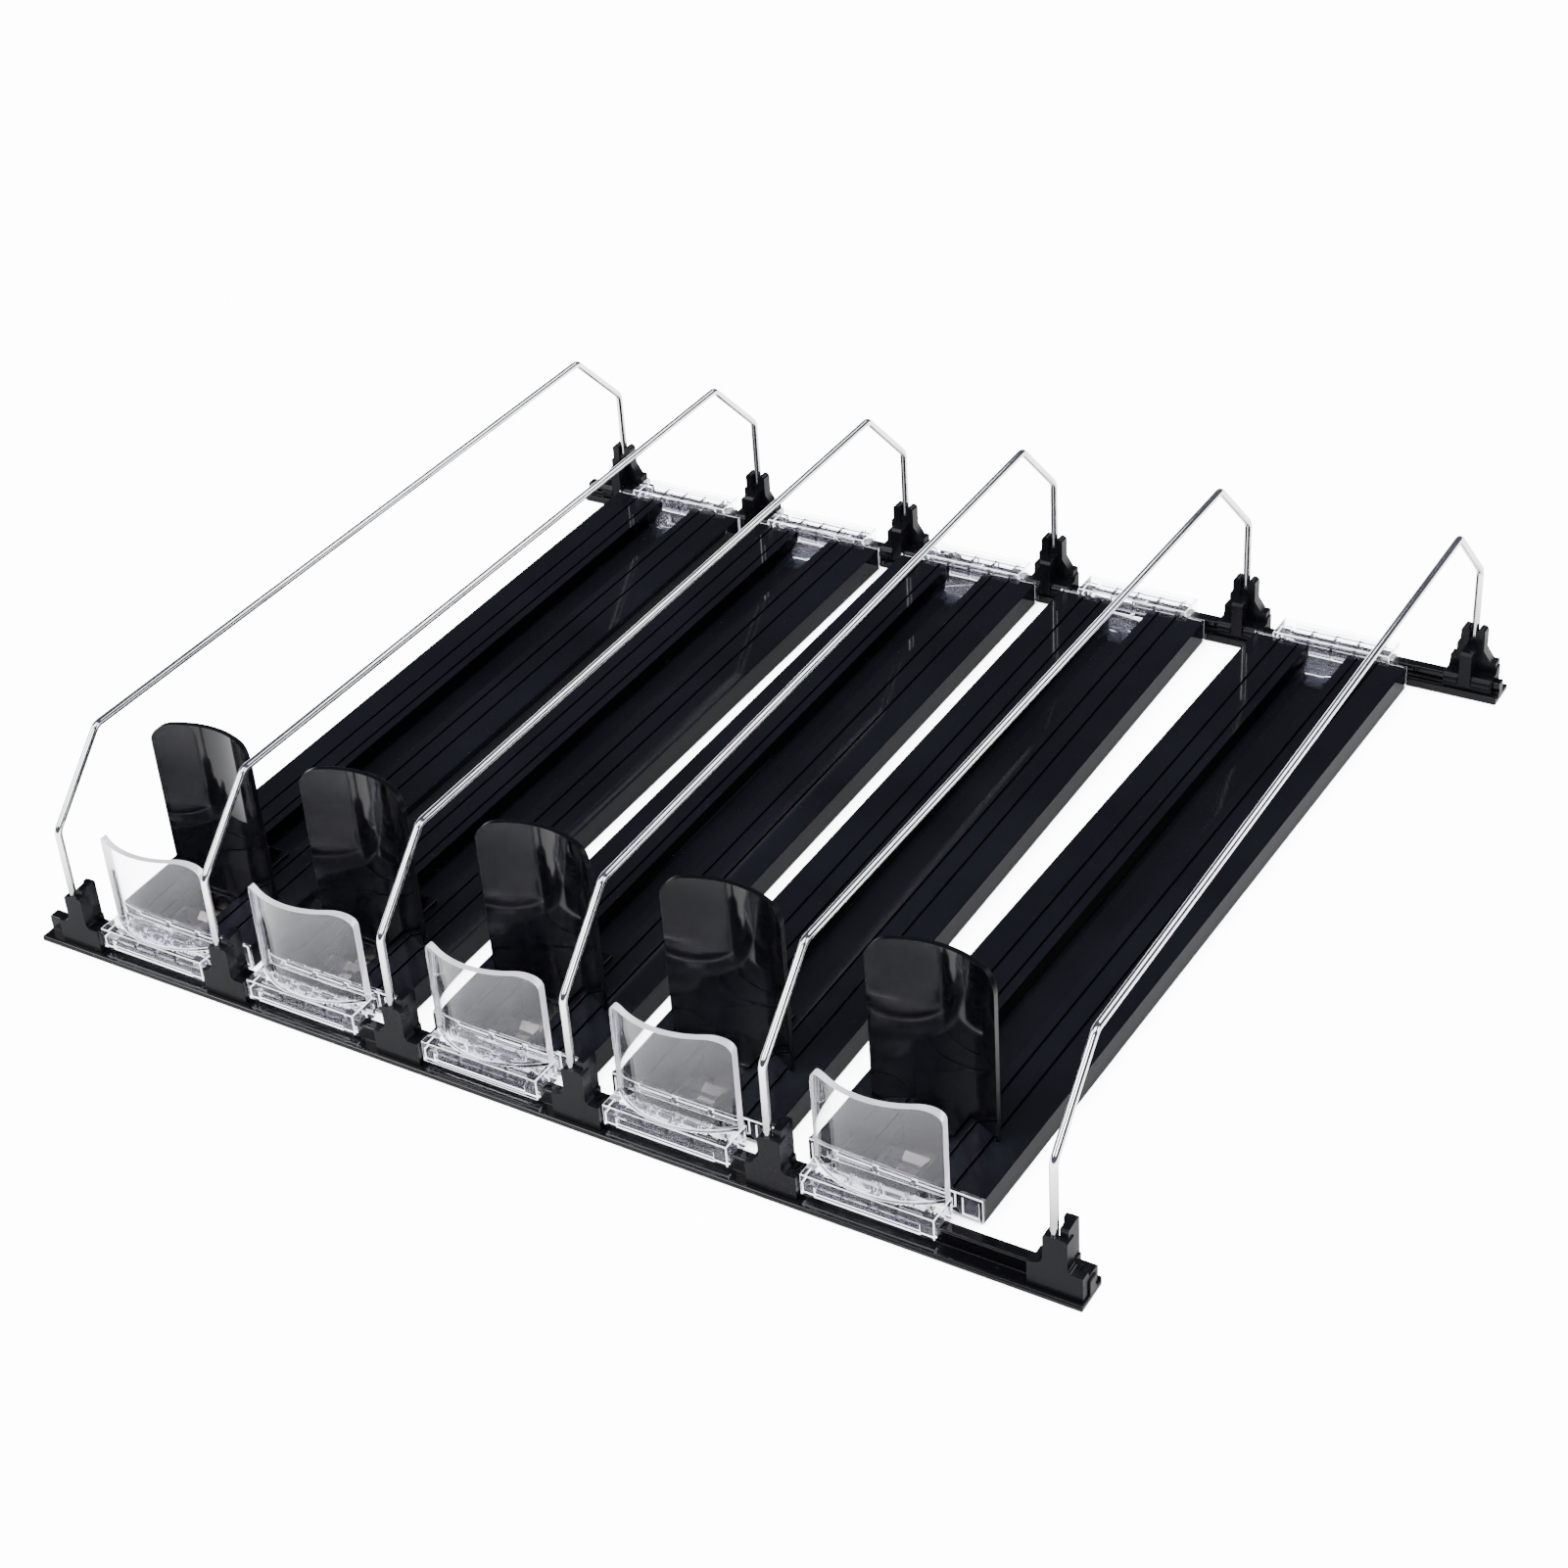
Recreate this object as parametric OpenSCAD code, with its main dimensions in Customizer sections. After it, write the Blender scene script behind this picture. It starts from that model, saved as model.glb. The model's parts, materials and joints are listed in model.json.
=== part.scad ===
// Shelf organiser for drink cans: two rails, wire dividers and spring-pushed lanes.
// Millimetres. X runs along the rails, Y from the front rail to the rear one, Z is up.
// The origin is on the floor, midway along the rails and midway between them.

/* [Rails] */
// Length of each rail
rail_len = 427.4; // [380:0.2:700]
// Depth of a rail's base plate
rail_depth = 14.2; // [13.6:0.1:20]
// Thickness of the base plate
rail_base_t = 2; // [1.2:0.1:2.6]
// Step from the base plate's outer edge back to the rib
rib_setback = 5.9; // [5.4:0.1:6.4]
// Thickness of the rib that the clips hold
rib_t = 4.8; // [3:0.1:5.2]
// Height of the rib's top above the floor
rib_top = 7.7; // [6.8:0.1:9]
// Height of the snap groove's lower edge
groove_z = 3.4; // [3:0.1:3.8]
// Height of the snap groove
groove_h = 1.8; // [1.2:0.1:2.4]
// Depth of the snap groove
groove_depth = 0.9; // [0.6:0.05:1.2]
// Width of the bead along the base plate's inner edge
bead_w = 1.2; // [0.8:0.1:1.4]
// Height of the bead above the base plate
bead_h = 1.2; // [0.5:0.1:2]
// Bevel along the rib's top edges and the base plate's outer edge
rail_bevel = 0.5; // [0.2:0.1:0.8]

/* [Layout] */
// Distance between the centres of a divider's two legs
wire_span = 380; // [330:1:480]
// Step from a rail's outer edge in to the leg's centre
leg_inset = 4.2; // [3.8:0.1:4.6]
// Left end of the rails to the first divider
first_inset = 18; // [12:0.1:30]
// Last divider to the right end of the rails
last_inset = 11; // [10.6:0.1:40]
// First divider to the second
pitch_1 = 69.8; // [69.6:0.1:90]
// Second divider to the third
pitch_2 = 78.1; // [73:0.1:90]
// Third divider to the fourth
pitch_3 = 75; // [72.5:0.1:90]
// Fourth divider to the fifth
pitch_4 = 75.5; // [71:0.1:90]
// Fifth divider to the sixth
pitch_5 = 100; // [82:0.1:110]
// Centre of a lane, from the divider on its left
lane_offset = 35; // [34.9:0.1:35.6]
// Sideways shift of the first divider's rear end
divider_shift_1 = -0.3; // [-3:0.1:0.2]
// Sideways shift of the second divider's rear end
divider_shift_2 = 1.2; // [-1:0.1:1.4]
// Sideways shift of the third divider's rear end
divider_shift_3 = -2.4; // [-3:0.1:-1.8]
// Sideways shift of the fourth divider's rear end
divider_shift_4 = -6.7; // [-7:0.1:-1]
// Sideways shift of the fifth divider's rear end
divider_shift_5 = 3.5; // [-2:0.1:5]
// Sideways shift of the sixth divider's rear end
divider_shift_6 = -2.1; // [-6:0.1:0]
// Sideways shift of the first lane's rear end
lane_shift_1 = -0.2; // [-0.3:0.1:1]
// Sideways shift of the second lane's rear end
lane_shift_2 = 1.3; // [1.1:0.1:3]
// Sideways shift of the third lane's rear end
lane_shift_3 = -2; // [-2.4:0.1:-1]
// Sideways shift of the fourth lane's rear end
lane_shift_4 = -1.2; // [-4:0.1:3]
// Sideways shift of the fifth lane's rear end
lane_shift_5 = 9.2; // [4:0.1:10]

/* [Wire] */
// Wire diameter
wire_d = 2.9; // [2.4:0.1:3]
// Height of the top bar's centre
wire_top = 82; // [60:0.5:110]
// Height at which a leg bends towards the top bar
leg_bend_z = 52.9; // [40:0.1:56]
// Run of the slope between a leg and the top bar
slope_run = 29.5; // [22:0.1:50]
// Bend radius on the wire's centre line
bend_r = 5; // [3:0.1:8]
// Height of a leg's foot inside its bracket
socket_floor = 13.5; // [10.5:0.1:18]

/* [Brackets] */
// Reach of a bracket's foot to the left of the wire
foot_left = 8.6; // [6:0.1:8.8]
// Reach of a bracket's foot to the right of the wire
foot_right = 10.3; // [8.5:0.1:10.4]
// Height of a foot's shoulder
shoulder_z = 11.6; // [10.5:0.1:12.6]
// Thickness of a foot's roof over the rib
foot_roof_t = 1.4; // [1:0.1:2.2]
// Outer face of a bracket, out from the wire's centre
bracket_front = 2.1; // [2:0.1:3.7]
// Thickness of the walls that hold a rib from behind
clip_wall_t = 1.8; // [1.2:0.1:2]
// Left edge of the front post, from the wire
post_left = 3.2; // [2.6:0.1:4.2]
// Right edge of the front post, from the wire
post_right = 5.2; // [4.8:0.1:6.4]
// Height of the front post
post_z = 24.4; // [21:0.1:28]
// Back face of the front post, in from the wire's centre
post_back = 2.7; // [2:0.1:3.4]
// Width of the notch where the wire enters the post
notch_w = 5; // [3:0.1:5]
// Depth of the notch
notch_depth = 3.4; // [2:0.1:5]
// Height of the tall fin beside the wire
fin_z = 27.6; // [25:0.1:32]
// Thickness of the fin
fin_t = 2.9; // [2.2:0.1:3.4]
// Depth of the fin, front to back
fin_depth = 7.6; // [6.6:0.1:8.2]
// Height of the rear bracket's two lobes
lobe_z = 27.8; // [25:0.1:34]
// Width of each lobe
lobe_w = 3.3; // [2:0.1:3.6]
// Height of the rear bracket's shoulders
upper_z = 14.2; // [13:0.1:17]
// Height of the ledge between a shoulder and a lobe
ledge_z = 20.2; // [18.4:0.1:22]
// Width of the rear bracket's inner tongue
tongue_w = 4.6; // [3:0.1:6]
// Height of the inner tongue's lower end
tongue_low_z = 5.2; // [4.8:0.1:8]
// Height of the inner tongue's top
tongue_top_z = 19; // [16:0.1:21]

/* [Tracks] */
// Width of a track
track_w = 63.9; // [60:0.1:64.5]
// Height of a track's top above the floor
track_top = 10.2; // [9:0.1:11.2]
// Gap between the floor and a track
track_gap = 0.5; // [0.3:0.1:1]
// Front leg line to the track's front end
track_front = 18.5; // [17:0.1:24]
// Rear leg line to the track's rear end
track_rear = 12.6; // [12.4:0.1:14]
// Thickness of a track's walls
track_wall = 1.6; // [1.2:0.1:2]
// Width of the channel's mouth
channel_w = 17; // [16:0.1:18]
// Depth of the undercut on each side of the channel
undercut = 1.5; // [1:0.1:1.8]
// Height of the undercut
undercut_h = 2.5; // [2:0.1:3]
// Edge of a track to its outer groove
groove_out = 11.3; // [8:0.1:14]
// Edge of a track to its inner groove
groove_in = 19.4; // [17:0.1:20]
// Width of the narrow grooves
fine_w = 1; // [0.6:0.1:1.4]
// Depth of the narrow grooves
fine_depth = 0.8; // [0.4:0.1:1]

/* [Stops] */
// Width of a clip body
clip_w = 48.2; // [44:0.1:48.4]
// Height of a clip body's top
clip_top = 12.5; // [11.4:0.1:14]
// Height of a clip body's lower edge
clip_low = 4; // [2.6:0.1:5]
// Width of the solid blocks at a clip body's ends
clip_end_w = 5.4; // [3:0.1:8]
// Outer face of a clip body, out from the leg line
clip_front = 0.6; // [0.4:0.1:1.2]
// Depth of a front clip body in from the leg line
clip_depth = 12; // [11:0.1:12]
// Thickness of a clip body's roof
roof_t = 1.5; // [1:0.1:2]
// Thickness of a clip body's ribs
clip_rib_t = 1.4; // [1:0.1:2]
// Thickness of the plate over a track's end
plate_t = 1.5; // [1:0.1:2]
// Width of the tongue that fits in the channel
stop_tongue_w = 16; // [12:0.1:16.4]
// Length of the front tongue
stop_tongue_len = 11.5; // [8:0.1:12]
// Length of the rear tongue
clip_tongue_len = 13; // [8:0.1:14]
// Width of the rear tongue's tip
clip_tongue_tip = 7; // [5:0.1:10]
// Width of the clear shield
shield_w = 47; // [40:0.1:47.6]
// Height of the shield's top above the floor
shield_top = 52; // [30:0.5:60]
// Forward bow of the shield
shield_bow = 8.8; // [4:0.1:9.4]
// Thickness of the shield
shield_t = 2.4; // [1.5:0.1:3]
// Radius of the shield's top corners
shield_corner_r = 8; // [3:0.1:12]

/* [Pushers] */
// Width of the pusher's paddle
paddle_w = 46.5; // [36:0.1:47]
// Height of the paddle's top above the floor
paddle_top = 76; // [50:0.5:79]
// Rearward bow of the paddle
paddle_bow = 8.5; // [4:0.1:10]
// Thickness of the paddle
paddle_t = 2; // [1.5:0.1:2.4]
// Radius of the paddle's top corners
paddle_corner_r = 6; // [3:0.1:12]
// Front leg line to the middle of the paddle's face
paddle_back = 52; // [48:0.5:70]
// Length of the sled in the channel
sled_len = 32; // [30:0.5:36]
// Part of the sled that lies in front of the paddle's middle
sled_lead = 14; // [12:0.5:15]
// Height of the tall spine behind the paddle
spine_z = 46; // [30:0.5:60]
// Width of the spine
spine_w = 11.4; // [11.2:0.1:13]
// Depth of the spine
spine_depth = 9; // [6:0.1:10]
// Outer diameter of the coiled spring
coil_d = 12.4; // [9:0.1:13]
// Diameter of the hole in the coil
coil_bore = 5; // [3:0.1:7]
// Width of the spring strip
strip_w = 9; // [6:0.1:9.2]
// Thickness of the spring strip
strip_t = 0.25; // [0.1:0.05:0.3]

/* [Clearances] */
// Clearance between a clip and the rib that it slides on
rail_clear = 0.25; // [0.15:0.05:0.35]
// Clearance between a wire's leg and its socket
leg_clear = 0.05; // [0.02:0.01:0.1]
// Clearance between the sled and the channel, all round
sled_clear = 0.25; // [0.15:0.05:0.35]
// Clearance between the pusher and the track's top
glide_clear = 0.4; // [0.3:0.05:0.6]
// Least gap between a clip and a bracket, or between two tracks
piece_gap = 0.5; // [0.3:0.1:0.6]

/* [Hidden] */
LANES = [1:5];
DIVIDERS = [1:6];
$fn = 64;
wire_sides = 24;
// Small overlap that keeps joined shapes of one piece a single solid
eps = 0.02;

pitches = [pitch_1, pitch_2, pitch_3, pitch_4, pitch_5];
divider_shifts = [
    divider_shift_1, divider_shift_2, divider_shift_3,
    divider_shift_4, divider_shift_5, divider_shift_6
];
lane_shifts = [lane_shift_1, lane_shift_2, lane_shift_3, lane_shift_4, lane_shift_5];
function sum_to(list, n) = n <= 0 ? 0 : list[n - 1] + sum_to(list, n - 1);

// Room between two dividers: the pitch, or what wider clips, brackets and tracks need
lane_mid = max(lane_offset, foot_right + clip_w / 2 + piece_gap);
function clip_room(i) =
    lane_mid + clip_w / 2 + foot_left + piece_gap + max(0, lane_shifts[i - 1] - divider_shifts[i]);
function track_room(i) =
    i == len(lane_shifts) ? track_w : track_w + piece_gap + max(0, lane_shifts[i - 1] - lane_shifts[i]);
rooms = [for (i = LANES) max(pitches[i - 1], clip_room(i), track_room(i))];
// Everything across the lanes is drawn in proportion to the room that the rails give
fit = (rail_len - first_inset - last_inset) / sum_to(rooms, len(rooms));
function divider_x(i) = -rail_len / 2 + first_inset + fit * sum_to(rooms, i - 1);
function lane_x(i) = divider_x(i) + fit * lane_mid;
function divider_skew(i) = fit * divider_shifts[i - 1];
function lane_skew(i) = fit * lane_shifts[i - 1];
track_wide = fit * track_w;
clip_wide = fit * clip_w;
shield_wide = fit * shield_w;
paddle_wide = fit * paddle_w;
reach_left = fit * foot_left;
reach_right = fit * foot_right;
post_l = fit * post_left;
post_r = fit * post_right;

// Places along a rail's section, in from the leg's centre line
rail_out = -leg_inset;
rail_in = rail_out + rail_depth;
rib_out = rail_out + rib_setback;
rib_in = rib_out + rib_t;
// A clip's walls on both sides of the rib
clip_out = rib_out - rail_clear;
clip_in = rib_in + rail_clear;
clip_back = clip_in + clip_wall_t;
clip_roof = rib_top + rail_clear;
foot_z = rail_base_t + rail_clear;
hook_reach = groove_depth * 0.6 + rail_clear;

leg_y = wire_span / 2;
track_y0 = -leg_y + track_front;
track_y1 = leg_y - track_rear;
channel_floor = track_gap + track_wall;

// Radius of an arc from its chord and its rise
function arc_r(chord, rise) = (chord * chord / 4 + rise * rise) / (2 * rise);
// Points of an arc about a centre
function arc(x, y, r, a0, a1, n = 8) =
    [for (k = [0:n]) let (a = a0 + (a1 - a0) * k / n) [x + r * cos(a), y + r * sin(a)]];

// Turns local X, Z outlines into a slab along Y
module along_y(y0, y1) {
    translate([0, y1, 0]) rotate([90, 0, 0]) linear_extrude(height = y1 - y0) children();
}
// Turns local Y, Z outlines into a slab along X
module along_x(x0, x1) {
    translate([x0, 0, 0]) rotate([90, 0, 90]) linear_extrude(height = x1 - x0) children();
}
// Local frame of an end: the leg line is y = 0 and +y points to the middle
module at_front() {
    translate([0, -leg_y, 0]) children();
}
module at_rear() {
    translate([0, leg_y, 0]) mirror([0, 1, 0]) children();
}
module block(x0, x1, y0, y1, z0, z1) {
    translate([x0, y0, z0]) cube([x1 - x0, y1 - y0, z1 - z0]);
}

// Rails
module rail_section() {
    b = rail_bevel;
    gi = rib_in - groove_depth;
    polygon([
        [rail_out, 0], [rail_in, 0],
        [rail_in, rail_base_t + bead_h], [rail_in - bead_w, rail_base_t + bead_h],
        [rail_in - bead_w, rail_base_t], [rib_in, rail_base_t],
        [rib_in, groove_z], [gi, groove_z], [gi, groove_z + groove_h],
        [rib_in, groove_z + groove_h], [rib_in, rib_top - b], [rib_in - b, rib_top],
        [rib_out + b, rib_top], [rib_out, rib_top - b], [rib_out, rail_base_t],
        [rail_out + b, rail_base_t], [rail_out, rail_base_t - b]
    ]);
}
module rail() {
    color([0.04, 0.04, 0.05]) along_x(-rail_len / 2, rail_len / 2) rail_section();
}
module front_rail() {
    at_front() rail();
}
module rear_rail() {
    at_rear() rail();
}

// Wire dividers, drawn in the plane of the wire: u along the bar, v upwards
// Stations of a bend to the right about a centre: u, v and heading
function bend(u, v, h0, h1, n = 5) =
    [for (k = [0:n]) let (h = h0 + (h1 - h0) * k / n) [u - bend_r * sin(h), v + bend_r * cos(h), h]];
// Points of the ring round one station
function ring(s) =
    [for (k = [0:wire_sides - 1]) let (t = 360 * k / wire_sides, r = wire_d / 2)
        [s[0] - r * cos(t) * sin(s[2]), s[1] + r * cos(t) * cos(s[2]), r * sin(t)]];
module swept_wire(stations) {
    n = wire_sides;
    last = len(stations) - 1;
    polyhedron(
        points = [for (s = stations) each ring(s)],
        faces = concat(
            [[for (j = [0:n - 1]) j]],
            [for (k = [0:last - 1]) for (j = [0:n - 1]) let (m = (j + 1) % n)
                [k * n + j, (k + 1) * n + j, (k + 1) * n + m, k * n + m]],
            [[for (j = [n - 1:-1:0]) last * n + j]]
        )
    );
}
module wire_divider(i) {
    shift = divider_skew(i);
    half = sqrt(wire_span * wire_span + shift * shift) / 2;
    rise = wire_top - leg_bend_z;
    slope = atan2(rise, slope_run);
    low_z = leg_bend_z - bend_r * tan((90 - slope) / 2);
    bar_half = half - slope_run - bend_r * tan(slope / 2);
    stations = concat(
        [[-half, socket_floor, 90]],
        bend(-half + bend_r, low_z, 90, slope),
        bend(-bar_half, wire_top - bend_r, slope, 0)
    );
    mirrored = [for (k = [len(stations) - 1:-1:0])
        [-stations[k][0], stations[k][1], -stations[k][2]]];
    color([0.82, 0.83, 0.85])
    translate([divider_x(i), -leg_y, 0]) rotate([0, 0, -atan2(shift, wire_span)])
    translate([0, half, 0]) rotate([90, 0, 90]) swept_wire(concat(stations, mirrored));
}

// Brackets
module rib_slot() {
    block(-reach_left - 1, reach_right + 1, clip_out, clip_in, 0, clip_roof);
}
module snap_hook() {
    r = hook_reach;
    mid = groove_z + groove_h / 2;
    h = groove_h / 2 - rail_clear;
    along_x(-reach_left, reach_right)
        polygon([
            [clip_in + eps, mid - h - 0.3], [clip_in - r, mid - h / 2],
            [clip_in - r, mid + h / 2], [clip_in + eps, mid + h]
        ]);
}
module leg_socket(top) {
    translate([0, 0, socket_floor])
        cylinder(r = wire_d / 2 + leg_clear, h = top - socket_floor + 1);
}
// Foot astride the rib: a tall wall outside, a low roof over the rib and a wall behind it
module bracket_foot() {
    bevel = 0.6;
    top = clip_roof + foot_roof_t;
    difference() {
        along_x(-reach_left, reach_right)
            polygon([
                [-bracket_front, foot_z], [clip_back, foot_z], [clip_back, top - bevel],
                [clip_back - bevel, top], [clip_out + 0.8, top], [clip_out, shoulder_z],
                [-bracket_front, shoulder_z]
            ]);
        rib_slot();
    }
    snap_hook();
}
// Front post with a wide flare on its left side and a small one on its right
module post_outline() {
    flare = 3;
    small_flare = 1.1;
    base = shoulder_z - 0.5;
    bevel = 0.9;
    polygon(concat(
        [[-post_l, post_z - bevel]],
        arc(-post_l - flare, shoulder_z + flare + 0.4, flare, 0, -90, 6),
        [[-post_l - flare, base], [post_r + small_flare, base]],
        arc(post_r + small_flare, shoulder_z + small_flare + 0.4, small_flare, 270, 180, 4),
        [[post_r, post_z - bevel], [post_r - bevel, post_z], [-post_l + bevel, post_z]]
    ));
}
// Fin beside the wire, with a lip that turns in behind it
module fin() {
    x0 = wire_d / 2 + leg_clear + 0.25;
    r = 0.8;
    lip_w = 1.4;
    lip_t = 2;
    low = clip_roof + 0.5;
    along_x(x0, x0 + fin_t)
        polygon(concat(
            [[fin_depth, low]],
            arc(fin_depth - r, fin_z - r, r, 0, 90, 4),
            arc(r, fin_z - r - 0.5, r, 90, 180, 4),
            [[0, low]]
        ));
    block(x0 - lip_w, x0 + eps, fin_depth - lip_t, fin_depth, low, fin_z - 0.6);
}
module front_bracket(i) {
    gusset_t = 0.9;
    color([0.07, 0.07, 0.08]) translate([divider_x(i), 0, 0]) at_front()
    difference() {
        union() {
            bracket_foot();
            difference() {
                along_y(-bracket_front, post_back) post_outline();
                // Notch that opens the post's back around the wire
                translate([0, 0, post_z - notch_depth]) along_y(0, post_back + 1)
                    polygon([
                        [-0.7, 0], [0.7, 0],
                        [notch_w / 2, notch_depth + 1], [-notch_w / 2, notch_depth + 1]
                    ]);
            }
            block(-post_l, post_r, post_back - eps, fin_depth, clip_roof + 0.5, shoulder_z + 1);
            // Small gussets on the roof at the right of the post
            for (x = [post_r + 1.2, post_r + 3])
                along_x(x, x + gusset_t)
                    polygon([
                        [0, clip_roof + 0.5], [clip_back - 2, clip_roof + 0.5],
                        [clip_back - 2, clip_roof + foot_roof_t + 0.6],
                        [clip_out, shoulder_z - 0.2], [0, shoulder_z - 0.2]
                    ]);
            fin();
        }
        leg_socket(fin_z);
    }
}
module lobe(side) {
    x0 = side < 0 ? -wire_d / 2 - lobe_w : wire_d / 2 + leg_clear / 2;
    r = lobe_w / 2;
    along_y(-bracket_front, clip_out + 1.2)
        polygon(concat(
            [[x0, clip_roof + 1]],
            arc(x0 + r, lobe_z - r, r, 180, 0, 10),
            [[x0 + lobe_w, clip_roof + 1]]
        ));
}
// Rounded pad on the wall behind the rib
module snap_pad(x0, x1) {
    chord = 4;
    rise = 1.1;
    r = arc_r(chord, rise);
    a = asin(chord / 2 / r);
    middle = foot_z + 4.4;
    along_x(x0, x1) polygon(arc(clip_back - 0.2 + rise - r, middle, r, -a, a, 8));
}
module rear_bracket(i) {
    x0 = -reach_left + 0.4;
    x1 = reach_right - 0.4;
    tower = wire_d / 2 + lobe_w;
    color([0.07, 0.07, 0.08])
    translate([divider_x(i) + divider_skew(i), 0, 0]) at_rear()
    difference() {
        union() {
            bracket_foot();
            // Shoulders, with a slope above the right one and a ledge above the left one
            along_y(-bracket_front, clip_out + 1.2)
                polygon([
                    [x0, clip_roof + 0.5], [x1, clip_roof + 0.5], [x1, upper_z], [tower + 3, upper_z],
                    [tower, ledge_z - 1.4], [-tower, ledge_z], [-tower - 1.2, ledge_z],
                    [-tower - 1.2, upper_z], [x0, upper_z]
                ]);
            along_y(-bracket_front, clip_out + 0.6)
                polygon([
                    [-tower, clip_roof + 1], [tower, clip_roof + 1],
                    [tower, lobe_z - 4.5], [-tower, lobe_z - 4.5]
                ]);
            lobe(-1);
            lobe(1);
            // Inner tongue
            along_x(-tongue_w / 2, tongue_w / 2)
                polygon([
                    [clip_out, clip_roof + 1], [clip_in, clip_roof + 0.4], [clip_in, tongue_low_z],
                    [clip_back + 1, tongue_low_z], [clip_back + 1, tongue_top_z],
                    [clip_back, tongue_top_z + 1], [clip_out, tongue_top_z + 1]
                ]);
            snap_pad(-reach_left + 0.2, -tongue_w / 2 - 0.6);
            snap_pad(tongue_w / 2 + 0.4, reach_right - 0.4);
        }
        leg_socket(lobe_z);
    }
}

// Tracks
module lane_frame(i) {
    translate([lane_x(i), -leg_y, 0]) rotate([0, 0, -atan2(lane_skew(i), wire_span)]) translate([0, leg_y, 0])
        children();
}
module track_outline() {
    half = track_wide / 2;
    w = channel_w / 2;
    t = track_wall;
    difference() {
        polygon([
            [-half, track_gap], [half, track_gap], [half, track_top - 0.4], [half - 0.4, track_top],
            [-half + 0.4, track_top], [-half, track_top - 0.4]
        ]);
        // Channel with an undercut on both sides
        translate([-w, channel_floor]) square([2 * w, track_top]);
        translate([-w - undercut, channel_floor]) square([2 * (w + undercut), undercut_h]);
        // Hollow underside on both sides of the channel
        for (side = [0, 1]) mirror([side, 0]) {
            translate([w + undercut + t, -1])
                square([half - w - undercut - 2 * t, track_top - fine_depth - t + 1]);
            for (x = [groove_out, groove_in])
                translate([half - fit * x - fine_w / 2, track_top - fine_depth]) square([fine_w, 2]);
        }
    }
}
module track(i) {
    color([0.08, 0.085, 0.1]) lane_frame(i) along_y(track_y0, track_y1) track_outline();
}

// Clear front stops and rear clips
module clip_body(depth) {
    half = clip_wide / 2;
    inner = half - clip_end_w;
    face = clip_out + clip_front;
    difference() {
        block(-half, half, -clip_front, depth, clip_low, clip_top);
        block(-half - 1, half + 1, clip_out, clip_in, 0, clip_roof);
        // Open front and back windows between the end blocks
        block(-inner, inner, -clip_front - 1, -clip_front + face - 0.6, clip_low + 1, clip_roof + 0.6);
        for (k = [0:3]) {
            bay = (2 * inner + clip_rib_t) / 4;
            x0 = -inner + k * bay;
            x1 = x0 + bay - clip_rib_t;
            block(x0, x1, clip_back, depth - 1, 0, clip_top - roof_t);
            block(x0, x1, clip_out + 0.6, clip_in + 0.4, clip_roof - 1, clip_top - roof_t);
        }
    }
    // Snap hook
    r = hook_reach;
    mid = groove_z + groove_h / 2;
    h = groove_h / 2 - rail_clear;
    along_x(-half, half)
        polygon([
            [clip_in + eps, mid - h / 2], [clip_in - r, mid - h / 4],
            [clip_in - r, mid + h / 2], [clip_in + eps, mid + h]
        ]);
}
// Plate over a track's end, in the lane's own frame, with shallow trays in its face
module end_plate(y) {
    half = track_wide / 2;
    rim = 1.6;
    difference() {
        block(-half, half, y, y + plate_t, track_gap, track_top + 0.1);
        for (side = [0, 1]) mirror([side, 0, 0])
            block((clip_wide + rim) / 2, half - rim, y - 1, y + 0.7, track_gap + rim, track_top - rim);
    }
}
module front_shield() {
    r = arc_r(shield_wide, shield_bow);
    face = -clip_front + 0.4;
    half = shield_wide / 2;
    c = shield_corner_r;
    intersection() {
        translate([0, face + r, 0]) difference() {
            cylinder(r = r, h = shield_top, $fn = 128);
            translate([0, 0, -1]) cylinder(r = r - shield_t, h = shield_top + 2, $fn = 128);
        }
        along_y(face - 1, face + shield_bow + shield_t)
            polygon(concat(
                [[-half, clip_top - roof_t / 2], [half, clip_top - roof_t / 2]],
                arc(half - c, shield_top - c, c, 0, 90, 8),
                arc(-half + c, shield_top - c, c, 90, 180, 8)
            ));
    }
}
module front_stop(i) {
    w = stop_tongue_w / 2;
    z0 = channel_floor + strip_t + 0.6;
    y0 = track_front;
    color([0.85, 0.85, 0.92, 0.5]) {
        translate([lane_x(i), 0, 0]) at_front() {
            clip_body(clip_depth);
            front_shield();
        }
        lane_frame(i) translate([0, -leg_y, 0]) {
            end_plate(y0 - plate_t);
            // Neck between the clip body and the plate, with three ribs on it
            block(-clip_wide / 2 + 2, clip_wide / 2 - 2, clip_depth - 1.2, y0 - plate_t + eps, 7.6, 9);
            for (x = [-clip_wide / 2 + 2, -7, 7, clip_wide / 2 - 3.4])
                block(x, x + 1.4, clip_depth - 1, y0 - plate_t + eps, 4.5, track_top);
            // Tongue in the channel, with its raised frame round the spring's anchor
            difference() {
                union() {
                    block(-w, w, y0 - eps, y0 + stop_tongue_len, z0, z0 + 2.2);
                    block(-w, w, y0 - eps, y0 + stop_tongue_len - 1.5, z0 + 2.2 - eps, track_top - 0.6);
                }
                block(-w + 1.5, w - 1.5, y0 + 1, y0 + stop_tongue_len - 3, z0 + 1.2, track_top);
            }
        }
    }
}
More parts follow.
